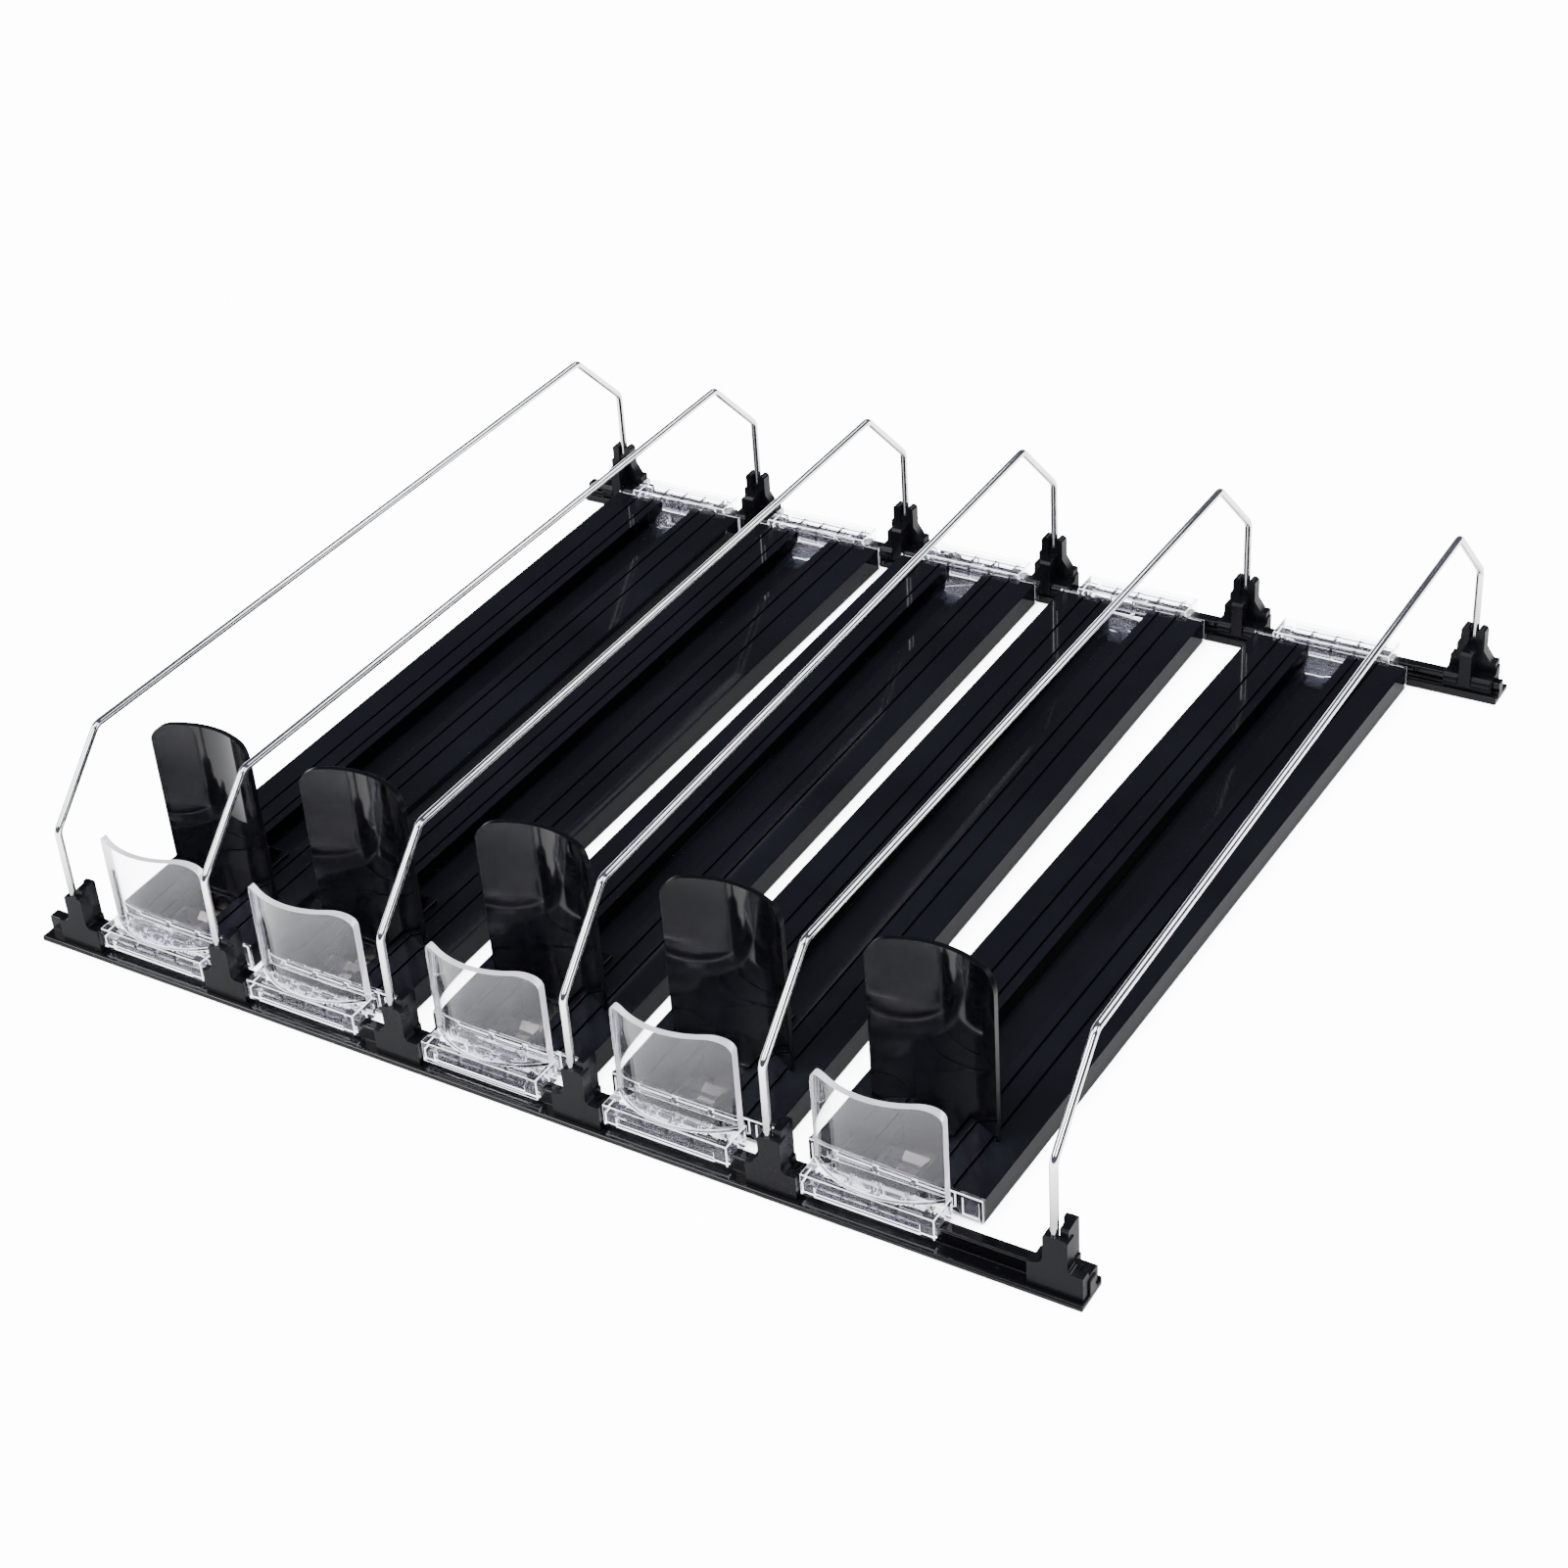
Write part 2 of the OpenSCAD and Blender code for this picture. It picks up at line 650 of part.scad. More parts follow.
module rear_clip(i) {
    w = stop_tongue_w / 2;
    tip = clip_tongue_tip / 2;
    z0 = channel_floor + 2.4;
    y0 = track_rear;
    color([0.85, 0.85, 0.92, 0.5]) {
        translate([lane_x(i) + lane_skew(i), 0, 0]) at_rear() clip_body(y0 - plate_t / 2);
        lane_frame(i) translate([0, leg_y, 0]) mirror([0, 1, 0]) {
            end_plate(y0 - plate_t);
            translate([0, 0, z0]) linear_extrude(height = 1.6)
                polygon([
                    [-w, y0 - plate_t + eps], [w, y0 - plate_t + eps],
                    [w, y0 + 3], [tip + 1.5, y0 + clip_tongue_len - 1.5], [tip, y0 + clip_tongue_len],
                    [-tip, y0 + clip_tongue_len], [-tip - 1.5, y0 + clip_tongue_len - 1.5], [-w, y0 + 3]
                ]);
        }
    }
}

// Pushers
coil_z = channel_floor + sled_clear + coil_d / 2;
paddle_low = track_top + glide_clear;
sled_y0 = -sled_lead;
sled_y1 = sled_len - sled_lead;
coil_y = paddle_t + coil_d / 2 + 0.8;
module paddle() {
    r = arc_r(paddle_wide, paddle_bow);
    half = paddle_wide / 2;
    c = paddle_corner_r;
    intersection() {
        translate([0, -r, 0]) difference() {
            cylinder(r = r + paddle_t, h = paddle_top, $fn = 128);
            translate([0, 0, -1]) cylinder(r = r, h = paddle_top + 2, $fn = 128);
        }
        along_y(-paddle_bow - paddle_t, paddle_t + 1)
            polygon(concat(
                [[-half, paddle_low], [half, paddle_low]],
                arc(half - c, paddle_top - c, c, 0, 90, 8),
                arc(-half + c, paddle_top - c, c, 90, 180, 8)
            ));
    }
}
module pusher_body() {
    neck = channel_w / 2 - sled_clear;
    flange = neck + undercut;
    z0 = channel_floor + sled_clear;
    z1 = channel_floor + undercut_h - sled_clear;
    s = spine_w / 2;
    pocket = strip_w / 2 + 0.5;
    paddle();
    difference() {
        union() {
            // Sled: flanges under the channel's lips, neck and deck
            block(-flange, flange, sled_y0, sled_y1, z0, z1);
            block(-neck, neck, sled_y0, sled_y1, z1 - eps, paddle_low + eps);
            block(-neck - 1.6, neck + 1.6, sled_y0 + 1, sled_y1, paddle_low, paddle_low + 1.6);
            // Tall spine with a bevelled rear edge
            along_x(-s, s)
                polygon([
                    [paddle_t - 0.6, paddle_low], [paddle_t + spine_depth, paddle_low],
                    [paddle_t + spine_depth, spine_z - 2], [paddle_t + spine_depth - 2, spine_z],
                    [paddle_t - 0.6, spine_z]
                ]);
            // Housing over the coil
            along_x(-s - 1, s + 1)
                polygon([
                    [paddle_t - 0.6, paddle_low], [coil_y + coil_d / 2 + 2, paddle_low],
                    [coil_y + coil_d / 2 + 2, coil_z + 4], [coil_y + 2, coil_z + coil_d / 2 + 3],
                    [paddle_t - 0.6, coil_z + coil_d / 2 + 3]
                ]);
        }
        // Pocket for the coil, open below, and the strip's way forward
        translate([-pocket, coil_y, coil_z]) rotate([0, 90, 0])
            cylinder(d = coil_d + 0.8, h = 2 * pocket);
        block(-pocket, pocket, coil_y - coil_d / 2 - 0.4, coil_y + coil_d / 2 + 0.4, 0, coil_z);
        block(-pocket, pocket, sled_y0 - 1, coil_y, 0, z0 + strip_t + 0.7);
    }
}
module pusher(i) {
    color([0.05, 0.05, 0.06])
        lane_frame(i) translate([0, -leg_y + paddle_back, 0]) pusher_body();
}
module spring(i) {
    z0 = channel_floor + sled_clear;
    anchor = track_front + 2.4;
    color([0.78, 0.74, 0.68])
    lane_frame(i) translate([0, -leg_y, 0]) {
        translate([-strip_w / 2, paddle_back + coil_y, coil_z]) rotate([0, 90, 0])
            difference() {
                cylinder(d = coil_d, h = strip_w);
                translate([0, 0, -1]) cylinder(d = coil_bore, h = strip_w + 2);
            }
        block(-strip_w / 2, strip_w / 2, anchor, paddle_back + coil_y, z0, z0 + strip_t);
    }
}

front_rail();
rear_rail();
for (i = DIVIDERS) {
    wire_divider(i);
    front_bracket(i);
    rear_bracket(i);
}
for (i = LANES) {
    track(i);
    front_stop(i);
    rear_clip(i);
    pusher(i);
    spring(i);
}
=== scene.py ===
"""Looks of the five-lane can organizer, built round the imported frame."""
import json
import math

import bmesh
import bpy
from mathutils import Matrix, Vector


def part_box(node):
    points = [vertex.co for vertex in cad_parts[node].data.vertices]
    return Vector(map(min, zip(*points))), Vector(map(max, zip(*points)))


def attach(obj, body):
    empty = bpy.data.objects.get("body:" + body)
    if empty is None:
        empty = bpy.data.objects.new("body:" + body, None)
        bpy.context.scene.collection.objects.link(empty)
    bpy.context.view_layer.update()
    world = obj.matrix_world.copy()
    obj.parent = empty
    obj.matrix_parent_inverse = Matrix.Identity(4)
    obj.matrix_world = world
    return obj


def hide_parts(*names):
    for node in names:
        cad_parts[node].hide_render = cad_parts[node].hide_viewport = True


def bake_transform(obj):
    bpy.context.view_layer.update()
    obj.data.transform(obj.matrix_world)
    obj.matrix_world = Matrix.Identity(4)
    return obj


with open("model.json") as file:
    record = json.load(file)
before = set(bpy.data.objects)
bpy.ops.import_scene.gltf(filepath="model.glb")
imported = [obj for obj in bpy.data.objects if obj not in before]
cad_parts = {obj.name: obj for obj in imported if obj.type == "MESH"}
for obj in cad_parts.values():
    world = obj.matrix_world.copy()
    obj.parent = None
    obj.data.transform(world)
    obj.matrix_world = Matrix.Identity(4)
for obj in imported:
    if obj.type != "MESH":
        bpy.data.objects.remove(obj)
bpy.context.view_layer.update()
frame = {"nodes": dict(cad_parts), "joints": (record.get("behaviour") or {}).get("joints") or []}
NODES = frame["nodes"]
MM = 0.001
LANES = range(1, 6)
DIVIDERS = range(1, 7)

# Sizes in millimetres, as in the solids: x across a lane, y along it, z above the floor
LEG_Y = 190.0
# Track: ends and top, channel and narrow grooves, hollows of the underside and the dark blocks of
# painted shade that close them
TRACK_MIDDLE, TRACK_Y0, TRACK_Y1, TRACK_TOP = 2.95, -171.5, 177.4, 10.2
CHANNEL_HALF, GROOVE_X0, GROOVE_X1, GROOVE_DEPTH = 9.0, 10.0, 24.0, 1.5
HOLLOW_X0, HOLLOW_X1, HOLLOW_TOP = 11.55, 30.4, 7.85
# Dark blocks of painted shade inside the hollows' ends
SHADE_BLOCK_FRONT, SHADE_BLOCK_REAR, SHADE_BLOCK_T, SHADE_BLOCK_LOW = 0.4, 0.9, 0.5, 0.7
# Spring: strip, coil, and a length in from each end of the strip, where two points are placed
STRIP_FROM, STRIP_Z, STRIP_W, STRIP_T = -169.1, 2.35, 9.0, 0.25
COIL_Y, COIL_R, COIL_BORE_R = -129.0, 6.2, 2.6
STRIP_HELD = 3.0
# Clips: outer faces, and the ends of the plates over the track
CLIP_LOW, CLIP_TOP, CLIP_W, CLIP_FRONT = 4.0, 12.5, 48.2, 0.6
PLATE_Y0, PLATE_Y1 = -173.0, 178.9
# Shield of a front stop
SHIELD_W, SHIELD_TOP, SHIELD_BOW, SHIELD_T = 47.0, 52.0, 8.8, 2.4
SHIELD_CORNER, SHIELD_Y, SHIELD_SINK = 8.0, -0.2, 0.02
# Pusher: paddle, spine, housing over the coil, and the sled in the channel
PADDLE_W, PADDLE_TOP, PADDLE_BOW, PADDLE_T = 46.5, 76.0, 8.5, 2.0
PADDLE_CORNER, PADDLE_Y, PADDLE_LOW, PADDLE_LAP = 6.0, -138.0, 10.6, 0.6
SPINE_W, SPINE_DEPTH, SPINE_TOP, SPINE_CHAMFER = 11.4, 9.0, 46.0, 2.0
HOUSING_SIDE, HOUSING_REAR, HOUSING_STEP, HOUSING_ROOF = 1.0, 2.0, 4.0, 3.0
SLED_Y0, SLED_Y1, SLED_MIDDLE, SLED_CORE_LOW = -14.0, 18.0, 4.3, 3.3
SLED_NECK, SLED_PLATE, SLED_FLANGE, SLED_SETBACK = 8.25, 1.6, 1.5, 1.0
SLED_LAP, STRIP_ROOM, COIL_ROOM = 0.05, 0.5, 0.4
# Distance within which a corner or a face counts as lying on a plane
NEAR = 0.05
# Widths of rounded edges
MOULDED_EDGE, OUTLINE_EDGE, SHIELD_EDGE, SLED_EDGE = 0.3, 0.34, 0.7, 0.35

# Angles in degrees: from which an edge is sharp, on a plate too, and up to which faces are one
SHARP, PLATE_SHARP, FLAT = 35, 50, 0.3
# Distance in metres within which corners are welded
WELD = 1e-6
WEIGHTS = "bevel_weight_edge"
# Steps of curves and of curved plates
STRIP_STEPS, COIL_STEPS, COIL_TURNS = 24, 28, 7
CORNER_STEPS, PLATE_STEPS, PLATE_ROWS = 8, 28, 12

# The photograph's camera: place in metres, angles in degrees
IMAGE_PX = 1601
CAMERA_AT = Vector((0.48597, -0.76875, 0.62672))
CAMERA_AZIMUTH = 36.602
CAMERA_ELEVATION = 33.475
CAMERA_ROLL = -6.534
FOCAL_PX = 2917.3
CENTRE_PX = (621.4, 789.7)
SENSOR_MM = 36.0

# Brightness of the white surroundings as the camera sees them, and the floor's part of it
WHITE = 16.0
FLOOR_SHARE = 0.8
# What each mirroring leaves of it
MIRRORED_SHARE = 0.04
# Lengths in metres over which a ray mirrored once begins to see the white floor, and how much
FAR_RAYS = (0.045, 0.09)
FAR_SHARE = 0.2
# Shade in narrow hollows over the floor: reach in metres, openness from dark to white, samples
SHADE_REACH, SHADE_ENDS, SHADE_SAMPLES = 0.03, (0.08, 0.6), 6
ROOM_COLOUR, ROOM_STRENGTH = (0.75, 0.8, 1, 1), 0.12
# Soft boxes: place and aim in metres, width and height, power in watts
LIGHTS = {
    "key_top": ((0.2, -0.5, 1.9), (0, 0, 0), (1.3, 1.0), 24),
    "left_box": ((-1.1, -1.15, 1.4), (0, 0, 0.03), (1.2, 1.0), 26),
    "right_box": ((1.7, 0.3, 0.8), (0, 0, 0.03), (0.5, 0.8), 8),
    "back_card": ((0.38, 1.34, 1.43), (0, 0, 0.08), (1.1, 0.8), 12),
    "front_box": ((0.9, -1.5, 1.5), (0, 0, 0.04), (0.8, 0.6), 14),
}
# Part of a noise's values over which a colour or gloss drifts
DRIFT_ENDS = (0.3, 0.7)
# Scales of the noises in black plastic: colour drift, smears of gloss, grain
CLOUD_SCALE, SMEAR_SCALE, GRAIN_SCALE = 18, 45, 900
PLASTIC_IOR = 1.49
CLEAR_TRANSMISSION, EDGE_TRANSMISSION = 0.99, 0.5


def make_camera():
    """The camera that took the photograph, with its view's centre off the image's middle."""
    a, e, r = (math.radians(x) for x in (CAMERA_AZIMUTH, CAMERA_ELEVATION, CAMERA_ROLL))
    back = Vector((math.sin(a) * math.cos(e), -math.cos(a) * math.cos(e), math.sin(e)))
    right = Vector((math.cos(a), math.sin(a), 0))
    up = back.cross(right)
    turned_right = math.cos(r) * right + math.sin(r) * up
    turned_up = -math.sin(r) * right + math.cos(r) * up
    data = bpy.data.cameras.new("camera")
    data.sensor_width = SENSOR_MM
    data.lens = FOCAL_PX / IMAGE_PX * SENSOR_MM
    data.shift_x = 0.5 - CENTRE_PX[0] / IMAGE_PX
    data.shift_y = CENTRE_PX[1] / IMAGE_PX - 0.5
    data.clip_start, data.clip_end = 0.01, 50
    cam = bpy.data.objects.new("camera", data)
    columns = Matrix((turned_right, turned_up, back)).transposed()
    cam.matrix_world = Matrix.Translation(CAMERA_AT) @ columns.to_4x4()
    bpy.context.scene.collection.objects.link(cam)
    bpy.context.scene.camera = cam


def area_light(name, at, aim, size, power):
    """A soft rectangular light at a place, aimed at another."""
    data = bpy.data.lights.new(name, "AREA")
    data.shape = "RECTANGLE"
    data.size, data.size_y = size
    data.energy = power
    light = bpy.data.objects.new(name, data)
    light.location = at
    light.rotation_euler = (Vector(aim) - Vector(at)).to_track_quat("-Z", "Y").to_euler()
    bpy.context.scene.collection.objects.link(light)


def math_node(tree, operation, *values):
    """The output of a calculation with numbers and other nodes' outputs."""
    node = tree.nodes.new("ShaderNodeMath")
    node.operation = operation
    for socket, value in zip(node.inputs, values):
        if isinstance(value, bpy.types.NodeSocket):
            tree.links.new(value, socket)
        else:
            socket.default_value = value
    return node.outputs[0]


def rise(tree, source, ends, top):
    """A value that rises from 0 to a top while its source goes from one end to the other."""
    node = tree.nodes.new("ShaderNodeMapRange")
    node.inputs["From Min"].default_value, node.inputs["From Max"].default_value = ends
    node.inputs["To Max"].default_value = top
    tree.links.new(source, node.inputs["Value"])
    return node.outputs[0]


def bright_to_camera(tree, dim, bright, far_mirrored=False):
    """Mixes a dim shader with a bright one for the camera, which also sees it through clear parts.

    A path that has been mirrored on its way sees less of the bright one. Where far_mirrored is
    set, a path mirrored once sees some of it if it comes from far.
    """
    path = tree.nodes.new("ShaderNodeLightPath").outputs
    straight = math_node(tree, "MAXIMUM", path["Is Camera Ray"], path["Is Transmission Ray"])
    faded = math_node(tree, "POWER", MIRRORED_SHARE, path["Glossy Depth"])
    share = math_node(tree, "MULTIPLY", straight, faded)
    if far_mirrored:
        far = rise(tree, path["Ray Length"], FAR_RAYS, FAR_SHARE)
        once = math_node(tree, "COMPARE", path["Glossy Depth"], 1, 0.5)
        share = math_node(tree, "MAXIMUM", share, math_node(tree, "MULTIPLY", once, far))
    mix = tree.nodes.new("ShaderNodeMixShader")
    for socket, source in zip(mix.inputs, (share, dim, bright)):
        tree.links.new(source, socket)
    return mix.outputs[0]


def make_room():
    """A dim room, white to the camera."""
    world = bpy.data.worlds.new("studio")
    bpy.context.scene.world = world
    world.use_nodes = True
    nodes, links = world.node_tree.nodes, world.node_tree.links
    nodes.clear()
    out = nodes.new("ShaderNodeOutputWorld")
    seen = nodes.new("ShaderNodeBackground")
    room = nodes.new("ShaderNodeBackground")
    seen.inputs["Color"].default_value = (1, 1, 1, 1)
    seen.inputs["Strength"].default_value = WHITE
    room.inputs["Color"].default_value = ROOM_COLOUR
    room.inputs["Strength"].default_value = ROOM_STRENGTH
    mixed = bright_to_camera(world.node_tree, room.outputs[0], seen.outputs[0])
    links.new(mixed, out.inputs["Surface"])


def make_floor():
    """A matt white floor, which glows to the camera and is shaded in narrow hollows over it."""
    bpy.ops.mesh.primitive_plane_add(size=12, location=(0, 0, 0))
    floor = bpy.context.object
    floor.name = "floor"
    mat, shader = new_material("floor_white")
    shader.inputs["Base Color"].default_value = (0.9, 0.9, 0.9, 1)
    shader.inputs["Roughness"].default_value = 0.9
    shader.inputs["Specular IOR Level"].default_value = 0.0
    nodes, links = mat.node_tree.nodes, mat.node_tree.links
    shade = nodes.new("ShaderNodeAmbientOcclusion")
    shade.samples = SHADE_SAMPLES
    shade.inputs["Distance"].default_value = SHADE_REACH
    glow = nodes.new("ShaderNodeEmission")
    strength = rise(mat.node_tree, shade.outputs["AO"], SHADE_ENDS, WHITE * FLOOR_SHARE)
    links.new(strength, glow.inputs["Strength"])
    both = nodes.new("ShaderNodeAddShader")
    links.new(shader.outputs[0], both.inputs[0])
    links.new(glow.outputs[0], both.inputs[1])
    mixed = bright_to_camera(mat.node_tree, shader.outputs[0], both.outputs[0], True)
    links.new(mixed, nodes["Material Output"].inputs["Surface"])
    floor.data.materials.append(mat)


def new_material(name):
    """A new material and its shader."""
    mat = bpy.data.materials.new(name)
    mat.use_nodes = True
    return mat, mat.node_tree.nodes["Principled BSDF"]


def add_noise(mat, scale, detail, stretch=(1, 1, 1)):
    """A noise in object space, stretched along an axis if asked."""
    nodes, links = mat.node_tree.nodes, mat.node_tree.links
    coords = nodes.new("ShaderNodeTexCoord")
    mapping = nodes.new("ShaderNodeMapping")
    mapping.inputs["Scale"].default_value = stretch
    noise = nodes.new("ShaderNodeTexNoise")
    noise.inputs["Scale"].default_value = scale
    noise.inputs["Detail"].default_value = detail
    links.new(coords.outputs["Object"], mapping.inputs["Vector"])
    links.new(mapping.outputs["Vector"], noise.inputs["Vector"])
    return noise.outputs["Fac"]


def drift(mat, shader, socket, noise, low, high):
    """Lets a shader's colour or roughness drift between two colours or greys with a noise."""
    nodes, links = mat.node_tree.nodes, mat.node_tree.links
    node = nodes.new("ShaderNodeValToRGB")
    for element, end, colour in zip(node.color_ramp.elements, DRIFT_ENDS, (low, high)):
        element.position = end
        element.color = (*colour, 1)
    links.new(noise, node.inputs["Fac"])
    links.new(node.outputs["Color"], shader.inputs[socket])


def grey(value):
    return (value,) * 3


def add_bump(mat, shader, noise, strength, distance):
    """Lets a noise roughen a shader's surface, by a distance in metres at the most."""
    nodes, links = mat.node_tree.nodes, mat.node_tree.links
    bump = nodes.new("ShaderNodeBump")
    bump.inputs["Strength"].default_value = strength
    bump.inputs["Distance"].default_value = distance
    links.new(noise, bump.inputs["Height"])
    links.new(bump.outputs["Normal"], shader.inputs["Normal"])


def black_plastic(name, base, rough, gloss=0.22, stretch=(1, 1, 1), bump=0.02):
    """Moulded or extruded black plastic: faint colour drift, uneven gloss and a fine grain."""
    mat, shader = new_material(name)
    cloud = add_noise(mat, CLOUD_SCALE, 3, stretch)
    drift(mat, shader, "Base Color", cloud, base, [c * 1.5 + 0.001 for c in base])
    smear = add_noise(mat, SMEAR_SCALE, 4, stretch)
    drift(mat, shader, "Roughness", smear, grey(rough * 0.8), grey(rough * 1.25))
    add_bump(mat, shader, add_noise(mat, GRAIN_SCALE, 2, stretch), bump, 0.0002)
    shader.inputs["IOR"].default_value = PLASTIC_IOR
    shader.inputs["Specular IOR Level"].default_value = gloss
    return mat


def clear_plastic(name, ior, rough):
    """Clear moulded plastic with a faint violet cast and uneven gloss."""
    mat, shader = new_material(name)
    cloud = add_noise(mat, 30, 2)
    drift(mat, shader, "Base Color", cloud, (0.90, 0.90, 0.96), (0.96, 0.96, 1.0))
    drift(mat, shader, "Roughness", cloud, grey(rough * 0.4), grey(rough))
    shader.inputs["IOR"].default_value = ior
    shader.inputs["Transmission Weight"].default_value = CLEAR_TRANSMISSION
    return mat


def painted_glow_edge(name, glow):
    """The rounded edges of a clear part, with a painted glow that stands in for the light running
    inside it.
    """
    mat, shader = new_material(name)
    cloud = add_noise(mat, 60, 2)
    drift(mat, shader, "Base Color", cloud, (0.86, 0.86, 0.92), (0.98, 0.98, 1.0))
    drift(mat, shader, "Roughness", cloud, grey(0.1), grey(0.2))
    shader.inputs["IOR"].default_value = PLASTIC_IOR
    shader.inputs["Transmission Weight"].default_value = EDGE_TRANSMISSION
    # Painted glow: the edges emit light, though they are no lamp
    shader.inputs["Emission Color"].default_value = (0.92, 0.92, 1, 1)
    shader.inputs["Emission Strength"].default_value = glow
    return mat


def chrome(name):
    """Chromed wire, with faint drawing marks."""
    mat, shader = new_material(name)
    shader.inputs["Metallic"].default_value = 1.0
    cloud = add_noise(mat, 120, 3, (1, 0.2, 1))
    drift(mat, shader, "Base Color", cloud, (0.88, 0.89, 0.92), (0.97, 0.97, 0.98))
    drift(mat, shader, "Roughness", cloud, grey(0.05), grey(0.12))
    add_bump(mat, shader, add_noise(mat, 1500, 2, (1, 0.1, 1)), 0.03, 0.0001)
    return mat


def strip_steel(name):
    """Tempered spring steel, streaked along the strip."""
    mat, shader = new_material(name)
    shader.inputs["Metallic"].default_value = 1.0
    cloud = add_noise(mat, 90, 3, (1, 0.1, 1))
    drift(mat, shader, "Base Color", cloud, (0.62, 0.54, 0.44), (0.80, 0.74, 0.64))
    drift(mat, shader, "Roughness", cloud, grey(0.18), grey(0.32))
    return mat


def lane_axes(i):
    """The middle of a lane's track on the floor, and the directions across and along the lane."""
    along = next(Vector(j["axis"]) for j in frame["joints"] if j["name"] == f"pusher_slide_{i}")
    low, high = (Vector(corner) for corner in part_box(f"track_{i}"))
    middle = (low + high) / 2
    middle.z = 0
    return middle, Vector((along.y, -along.x, 0)), along


def lane_point(i):
    """A function from a lane's own x, y and z in millimetres to a place in metres."""
    middle, across, along = lane_axes(i)

    def place(x, y, z):
        on_floor = middle + across * x * MM + along * (y - TRACK_MIDDLE) * MM
        return on_floor + Vector((0, 0, z * MM))

    return place


def finish_piece(
    bm, name, mat, body, bevel, segments=2, angle=SHARP, edge_mat=None, outlined=False
):
    """Makes an object from a mesh, rounds and smooths it, and hangs it on its body.

    A mesh with bevel weights is rounded only along the edges that have one, and an outlined one
    keeps the full width of its bevels beside small details.
    """
    by_weight = bm.edges.layers.float.get(WEIGHTS) is not None
    mesh = bpy.data.meshes.new(name)
    bm.to_mesh(mesh)
    bm.free()
    piece = bpy.data.objects.new(name, mesh)
    bpy.context.scene.collection.objects.link(piece)
    mesh.polygons.foreach_set("use_smooth", [True] * len(mesh.polygons))
    mesh.set_sharp_from_angle(angle=math.radians(angle))
    stale = mesh.attributes.get("custom_normal")
    if stale:
        # The solid's own normals no longer fit the welded faces
        mesh.attributes.remove(stale)
    mesh.materials.append(mat)
    if edge_mat:
        mesh.materials.append(edge_mat)
    if bevel:
        rounding = piece.modifiers.new("rounding", "BEVEL")
        rounding.width = bevel * MM
        rounding.segments = segments
        rounding.limit_method = "WEIGHT" if by_weight else "ANGLE"
        rounding.angle_limit = math.radians(angle)
        rounding.harden_normals = True
        rounding.use_clamp_overlap = not outlined
        if edge_mat:
            rounding.material = 1
    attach(piece, body)
    return piece


def node_mesh(node):
    """A CAD node's mesh, welded, with its flat faces made whole."""
    bm = bmesh.new()
    bm.from_mesh(NODES[node].data)
    bmesh.ops.remove_doubles(bm, verts=bm.verts, dist=WELD)
    bmesh.ops.dissolve_limit(
        bm, angle_limit=math.radians(FLAT), verts=bm.verts, edges=bm.edges
    )
    return bm


def dress(node, mat, body, bevel=MOULDED_EDGE, segments=2):
    """A finished copy of a CAD node, with its sharp edges rounded."""
    piece = finish_piece(node_mesh(node), node + "_skin", mat, body, bevel, segments)
    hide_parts(node)


def corner_steps(half, top, corner):
    """Stations across a plate with rounded top corners: x and the height of the edge there."""
    left = []
    for k in range(CORNER_STEPS + 1):
        t = math.pi / 2 * k / CORNER_STEPS
        left.append((-half + corner - corner * math.cos(t), top - corner + corner * math.sin(t)))
    inner = half - corner
    middle = [(-inner + 2 * inner * k / PLATE_STEPS, top) for k in range(1, PLATE_STEPS)]
    return left + middle + [(-x, z) for x, z in reversed(left)]


def curved_plate(bm, place, stations, low, near, far):
    """A plate standing on a curve: near and far give its two faces' y at an x.

    Its sides and upper edge have the second material, and bevel weights on their sharp edges.
    """
    weights = bm.edges.layers.float.new(WEIGHTS)
    grids = []
    for face in (near, far):
        columns = []
        for x, top in stations:
            heights = [low + (top - low) * k / PLATE_ROWS for k in range(PLATE_ROWS + 1)]
            columns.append([bm.verts.new(place(x, face(x), z)) for z in heights])
        grids.append(columns)
    a, b = grids
    last = len(stations) - 1
    for i in range(last):
        for k in range(PLATE_ROWS):
            bm.faces.new((a[i][k], a[i + 1][k], a[i + 1][k + 1], a[i][k + 1]))
            bm.faces.new((b[i][k], b[i][k + 1], b[i + 1][k + 1], b[i + 1][k]))
        bm.faces.new((a[i][0], b[i][0], b[i + 1][0], a[i + 1][0]))
        rim = [bm.faces.new((a[i][-1], a[i + 1][-1], b[i + 1][-1], b[i][-1]))]
        for k in range(PLATE_ROWS):
            if i == 0:
                rim.append(bm.faces.new((a[0][k], a[0][k + 1], b[0][k + 1], b[0][k])))
            if i == last - 1:
                rim.append(bm.faces.new((a[last][k], b[last][k], b[last][k + 1], a[last][k + 1])))
        for face in rim:
            face.material_index = 1
            for edge in face.edges:
                edge[weights] = 1
    bmesh.ops.recalc_face_normals(bm, faces=bm.faces)
    for edge in bm.edges:
        if edge.calc_face_angle(0) < math.radians(PLATE_SHARP):
            edge[weights] = 0


def slab(bm, place, x0, x1, outline):
    """A prism across a lane with an outline of y and z."""
    rings = [[bm.verts.new(place(x, y, z)) for y, z in outline] for x in (x0, x1)]
    n = len(outline)
    faces = [bm.faces.new(rings[0]), bm.faces.new(rings[1][::-1])]
    for k in range(n):
        m = (k + 1) % n
        faces.append(bm.faces.new((rings[0][k], rings[1][k], rings[1][m], rings[0][m])))
    bmesh.ops.recalc_face_normals(bm, faces=faces)


def brick(bm, place, x0, x1, y0, y1, z0, z1):
    """A box between two values of x, y and z."""
    slab(bm, place, x0, x1, ((y0, z0), (y1, z0), (y1, z1), (y0, z1)))


